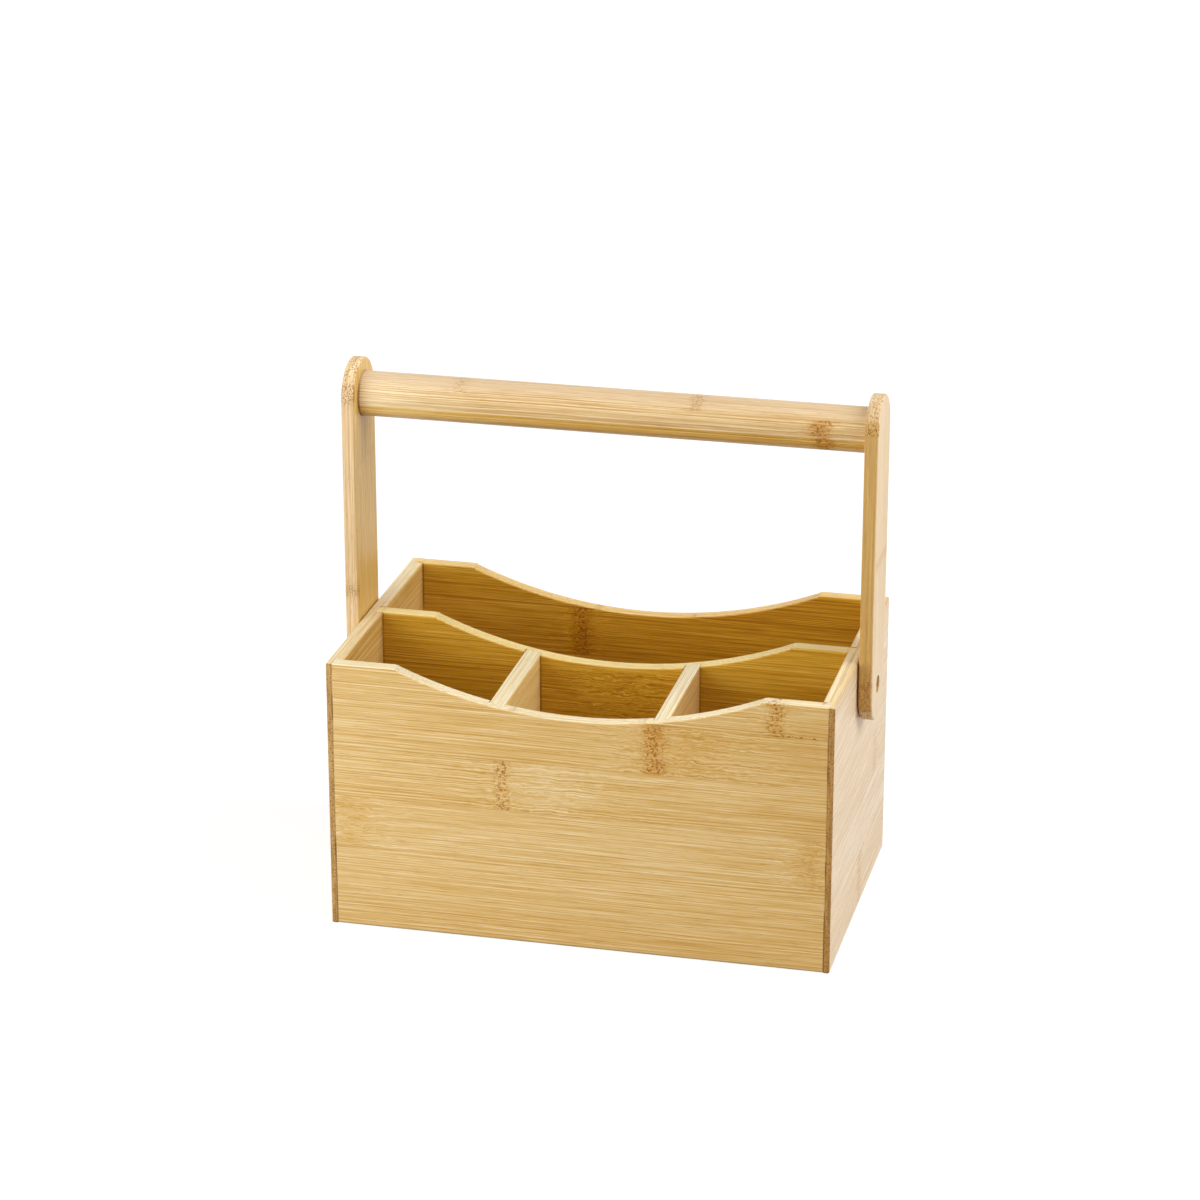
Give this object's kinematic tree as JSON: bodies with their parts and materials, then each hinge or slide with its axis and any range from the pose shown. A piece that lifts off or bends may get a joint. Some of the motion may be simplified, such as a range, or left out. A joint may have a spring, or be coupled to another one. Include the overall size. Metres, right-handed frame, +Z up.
{
  "type": "utensil caddy",
  "caption": "Open wooden utensil caddy with scooped rims, dividers that form compartments, and a swing handle of flat arms and a round rod.",
  "frame": {"origin": "centre of the box on the surface that it stands on, under the middle of the handle", "axes": "+X to the right along the handle's axis, +Y to the back, the side with the single long compartment, +Z up"},
  "size_m": [0.2384, 0.138, 0.2418],
  "materials": {
    "bamboo_box": "sanded and clear oiled, strips side by side",
    "bamboo_handle": "sanded and clear oiled",
    "steel_fixings": "zinc plated"
  },
  "bodies": {
    "caddy": {"front_panel": "bamboo_box", "back_panel": "bamboo_box", "left_side_panel": "bamboo_box", "right_side_panel": "bamboo_box", "bottom_panel": "bamboo_box", "long_divider": "bamboo_box", "cross_divider_left": "bamboo_box", "cross_divider_right": "bamboo_box", "pivot_screw_left": "steel_fixings", "pivot_screw_right": "steel_fixings", "pivot_washer_left": "steel_fixings", "pivot_washer_right": "steel_fixings"},
    "handle": {"handle_arm_left": "bamboo_handle", "handle_arm_right": "bamboo_handle", "handle_rod": "bamboo_handle"}
  },
  "joints": [
    {"name": "handle_swing", "type": "hinge", "parent": "caddy", "child": "handle", "pos_m": [0, 0, 0.109], "axis": [1, 0, 0], "range_deg": [-136, 136]}
  ]
}
